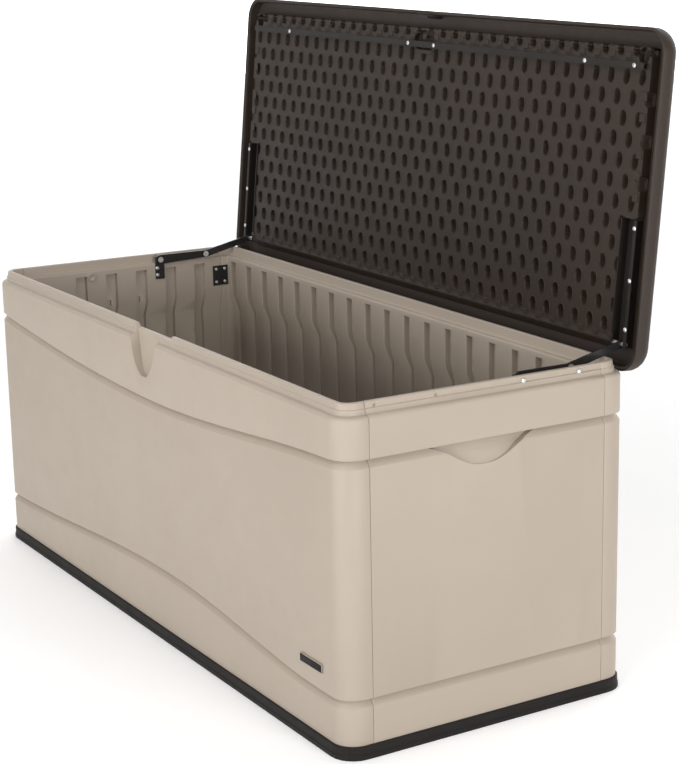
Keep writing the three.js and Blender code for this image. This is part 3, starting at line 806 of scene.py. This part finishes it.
def tile(name, size_y, oval_y, depth, middle_y=0.0):
    """A square of field with an oval dimple that has a slightly raised rim."""
    bpy.ops.mesh.primitive_plane_add(size=1)
    obj = named(name)
    obj.scale = (pitch_x, size_y, 1)
    done(obj)
    edit(obj)
    bpy.ops.mesh.select_all(action="SELECT")
    bpy.ops.mesh.subdivide(number_cuts=3)

    def inside(p):
        return abs(p.x) < pitch_x * inner_share and abs(p.y) < size_y * inner_share

    pick(obj, inside, "VERT")
    bpy.ops.mesh.delete(type="VERT")
    bpy.ops.mesh.primitive_circle_add(vertices=16, radius=1)
    bpy.ops.transform.resize(value=(11.5 * MM, oval_y / 2, 1), center_override=(0, 0, 0))
    shift(y=middle_y)
    bpy.ops.mesh.select_all(action="SELECT")
    bpy.ops.mesh.bridge_edge_loops()
    for drop, share in ((-1.0 * MM, 0.93), (1.8 * MM, 0.88), (depth * 0.8, 0.95), (depth * 0.2, 0.80)):
        if drop < 0:
            pick(obj, inside, "VERT")
        extrude(z=drop)
        bpy.ops.transform.resize(value=(share, share, 1), center_override=(0, middle_y, 0))
    bpy.ops.mesh.edge_face_add()
    bpy.ops.object.mode_set(mode="OBJECT")
    return obj


def repeat(obj, count, x=0.0, y=0.0):
    modify(obj, "ARRAY", count=count, use_relative_offset=False, use_constant_offset=True,
           constant_offset_displace=(x, y, 0), use_merge_vertices=True, merge_threshold=0.0001)


field = tile("lid_field", pitch_y, 31 * MM, 15 * MM)
print("faces in a tile:", len(field.data.polygons))
back_edge = hinge.y - 55.5 * MM
even_count, even_rows, odd_count, odd_rows = 33, 7, 34, 6
rows_depth = (even_rows + odd_rows) * pitch_y
odd = copy_of(field, "odd_rows")
for obj, count, rows, start in ((field, even_count, even_rows, 0), (odd, odd_count, odd_rows, 1)):
    obj.location = (-(count - 1) * pitch_x / 2, back_edge - (start + 0.5) * pitch_y, field_z)
    done(obj)
    repeat(obj, count, x=pitch_x)
    repeat(obj, rows, y=-2 * pitch_y)
front_row_y = 34.5 * MM
front_row = tile("front_row", front_row_y, 15 * MM, 12 * MM, middle_y=-8 * MM)
front_row.location = (-(odd_count - 1) * pitch_x / 2, back_edge - rows_depth - front_row_y / 2, field_z)
done(front_row)
repeat(front_row, odd_count, x=pitch_x)
join(field, [odd, front_row])
report(field)

# %% [markdown]
# The rows overhang, so the field is trimmed at both ends. Its open border is then raised into
# sides and closed, which makes it a solid that later cuts can bite into.

# %% Trim the field and give it sides
field_half_x = 726 * MM
front_edge = back_edge - rows_depth - front_row_y
edit(field)
for side in (-1, 1):
    bpy.ops.mesh.select_all(action="SELECT")
    bpy.ops.mesh.bisect(plane_co=(side * field_half_x, 0, 0), plane_no=(side, 0, 0), clear_outer=True)
bpy.ops.mesh.select_all(action="SELECT")
bpy.ops.mesh.remove_doubles(threshold=0.0002)
pick(field, lambda p: p.y < front_edge + MM and abs(p.x / pitch_x % 1 - 0.5) < 0.1, "VERT")
shift(y=5 * MM)
pick(field, lambda p: p.y > back_edge - MM, "EDGE")
extrude(y=11.5 * MM)
bpy.ops.mesh.select_all(action="DESELECT")
bpy.ops.mesh.select_mode(type="EDGE")
bpy.ops.mesh.select_non_manifold()
extrude(z=17.5 * MM)
bpy.ops.mesh.edge_face_add()
bpy.ops.mesh.select_all(action="SELECT")
bpy.ops.mesh.normals_make_consistent(inside=False)
bpy.ops.object.mode_set(mode="OBJECT")
report(field)

# %% [markdown]
# The stay channels, the front corners and the catch need room in the field, so blocks and rods
# are cut out of it, and a notch out of the skirt.

# %% Room for the stay channels and the catch
corner_x, corner_ahead = 704 * MM, 556 * MM
for side in (-1, 1):
    low_x, high_x = sorted((side * 683.7 * MM, side * 735 * MM))
    cut(field, box_piece("channel_room", (low_x, hinge.y - 270 * MM, lid_z - 10 * MM),
                         (high_x, hinge.y - 30 * MM, lid_z + 30 * MM)))
    cut(field, rod_piece(
        "corner_pocket", 15 * MM, (side * corner_x, hinge.y - corner_ahead, lid_z - MM),
        (side * corner_x, hinge.y - corner_ahead, lid_z + 16 * MM), sides=32))
pocket = rod_piece("catch_pocket", 40 * MM, (0, 0, -4 * MM), (0, 0, 14 * MM), sides=40)
pocket.scale = (1, 0.55, 1)
pocket.location = (0, hinge.y - 545 * MM, lid_z)
done(pocket)
cut(field, pocket)
modify(field, "BEVEL", width=0.5 * MM, segments=1, limit_method="ANGLE", angle_limit=math.radians(60),
       use_clamp_overlap=True)
cut(lid, box_piece("lid_notch", (-0.047, -0.330, lid_z - 10 * MM), (0.062, -0.297, lid_z + 8 * MM)))
report(field)

# %% [markdown]
# Along the hinge a plain band closes the field, with its lower back edge raised to clear the
# lip below it. Small tabs, a bead and pads stand down from the field. Each is one box, softened
# except for the bead, and a row of them is an array at the pitch of the dimples.

# %% Band, bead, tabs and pads
def underside_block(name, left, right, far, near, drop):
    """A block standing down from the field; far, near and drop are in millimetres."""
    return box_piece(name, (left, hinge.y - far * MM, field_z - drop * MM),
                     (right, hinge.y - near * MM, field_z + MM))


band = box_piece("hinge_band", (-0.683, hinge.y - 46 * MM, field_z),
                 (0.683, hinge.y - 30 * MM, lid_z + 22 * MM))
edit(band)
pick(band, lambda p: p.y > hinge.y - 31 * MM and p.z < field_z + MM, "EDGE")
shift(z=15 * MM)
bpy.ops.object.mode_set(mode="OBJECT")
tabs = underside_block("hinge_tabs", -0.691, -0.677, 60, 50, 1.6)
soften(tabs, 0.8 * MM, segments=1)
repeat(tabs, 32, x=pitch_x)
bead = underside_block("hinge_bead", -0.690, 0.690, 47, 44.5, 1.4)
pads = underside_block("bar_pads", -0.6665, -0.6535, 560, 549, 1.6)
soften(pads, 0.8 * MM, segments=1)
repeat(pads, 31, x=pitch_x)
grip = underside_block("catch_pad", -0.030, 0.030, 528, 519, 1.5)
soften(grip, 1.0 * MM, segments=1)
side_pads = []
for side in (-1, 1):
    low_x, high_x = sorted((side * 707 * MM, side * 722 * MM))
    for near in (300, 338, 376, 440, 478):
        pad = underside_block("side_pad", low_x, high_x, near + 16, near, 2)
        soften(pad, 1.2 * MM, segments=1)
        side_pads.append(pad)
soften(lid, 0.8 * MM)
soften(band, 1 * MM)
only(field)
bpy.ops.object.shade_smooth_by_angle(angle=math.radians(40))
report(lid)
print("side pads:", len(side_pads))

# %% [markdown]
# The lid's knuckles sit between the wall's. They are added before the whole lid is turned open
# about the hinge, so they stay on its axis.

# %% Join the lid and open it
lid_parts = [field, band, tabs, bead, pads, grip, *side_pads]
for x in hinge_places:
    start, end = x - knuckle * (0.5 - slack), x + knuckle * (0.5 - slack)
    piece = tube("lid_knuckle", knuckle_radius, knuckle_bore,
                 (start, hinge.y, hinge.z), (end, hinge.y, hinge.z))
    web = box_piece("lid_web", (start, hinge.y + 2 * MM, hinge.z + 3.5 * MM),
                    (end, hinge.y + 4 * MM, lid_z + 3 * MM))
    soften(piece, 0.8 * MM)
    lid_parts += [piece, web]
join(lid, lid_parts)
edit(lid)
bpy.ops.mesh.select_all(action="SELECT")
bpy.ops.transform.rotate(value=open_angle, orient_axis="X", center_override=tuple(hinge))
bpy.ops.object.mode_set(mode="OBJECT")
dress(lid, brown)
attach(lid, "lid")
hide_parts("lid_panel")
report(lid)

# %% [markdown]
# ## Steel parts
# The stays, the bar, the base and the plates keep their solid shape. Folded steel and moulded
# plastic have a small radius on every edge, so each gets a live bevel, which changes no mesh.

# %% Round the steel edges
rounded_words = ("arm", "channel", "bar", "base", "hasp", "corner_plate", "rivet", "floor_panel")
rounded = 0
for node, obj in frame["nodes"].items():
    if any(word in node for word in rounded_words):
        rounded += 1
        edge = obj.modifiers.new("edge", "BEVEL")
        edge.width = 0.4 * MM if "screw" in node or "rivet" in node else 0.7 * MM
        edge.segments = 2
        edge.limit_method = "ANGLE"
        edge.angle_limit = math.radians(35)
print("solids with rounded edges:", rounded)

# %% [markdown]
# ## Small screws
# Each corner plate is held by four pan-head screws. One is made from a disc, whose top edge is
# rounded over, gets a crossed slot, and is copied to each corner of the plates.

# %% One pan-head screw and its copies
bpy.ops.mesh.primitive_cylinder_add(vertices=24, radius=3.4 * MM, depth=2 * MM)
plate_screw = done(named("plate_screw"))
edit(plate_screw)
pick(plate_screw, lambda p: p.z > 0.9 * MM)
bpy.ops.mesh.bevel(offset=1.1 * MM, segments=3, affect="EDGES")
bpy.ops.object.mode_set(mode="OBJECT")
for slot_x, slot_y in ((4.2 * MM, 0.8 * MM), (0.8 * MM, 4.2 * MM)):
    cut(plate_screw, box_piece("slot_cutter", (-slot_x / 2, -slot_y / 2, 0.2 * MM),
                               (slot_x / 2, slot_y / 2, 3 * MM)))
only(plate_screw)
bpy.ops.object.shade_smooth_by_angle(angle=math.radians(35))
dress(plate_screw, zinc)
count = 0
screw_inset = 8 * MM
for node in sorted(frame["nodes"]):
    if not node.startswith("corner_plate"):
        continue
    low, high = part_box(node)
    side = 1 if low.x > 0 else -1
    face = low.x if side > 0 else high.x
    for y in (low.y + screw_inset, high.y - screw_inset):
        for z in (low.z + screw_inset, high.z - screw_inset):
            screw = copy_of(plate_screw, f"plate_screw_{count:02d}")
            screw.rotation_euler = (0, -side * math.pi / 2, 0)
            screw.location = (face - side * 0.6 * MM, y, z)
            done(screw)
            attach(screw, "case")
            count += 1
bpy.data.objects.remove(plate_screw)
print("plate screws:", count)

# %% [markdown]
# ## The badge
# A small pressed plate on the front, near its right end. It carries no words. A box is rounded at
# its four corners, its face is inset and pushed in, and a smaller panel is raised from it.

# %% Badge plate
low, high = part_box("badge_plate")
badge = box_piece("badge", low, high)
edit(badge)
pick(badge, lambda p: abs(p.y - (low.y + high.y) / 2) < MM / 2, "EDGE")
bpy.ops.mesh.bevel(offset=3 * MM, offset_type="OFFSET", segments=4, affect="EDGES")
pick(badge, lambda p: p.y < low.y + 0.1 * MM)
bpy.ops.mesh.inset(thickness=1.3 * MM, depth=0)
extrude(y=0.9 * MM)
bpy.ops.mesh.inset(thickness=1.6 * MM, depth=0)
extrude(y=-0.4 * MM)
bpy.ops.object.mode_set(mode="OBJECT")
soften(badge, 0.25 * MM)
badge_metal = finish("badge_aluminium", (0.42, 0.38, 0.33), (0.46, 0.42, 0.37), 0.35,
                     bump=0.1, metal=0.6, mottle=30)
dress(badge, badge_metal)
badge.data.materials.append(dark)
edit(badge)
pick(badge, lambda p: low.y + 0.2 * MM < p.y < low.y + MM and abs(p.z - (low.z + high.z) / 2) < 7 * MM)
badge.active_material_index = 1
bpy.ops.object.material_slot_assign()
bpy.ops.object.mode_set(mode="OBJECT")
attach(badge, "case")
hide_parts("badge_plate")
report(badge)
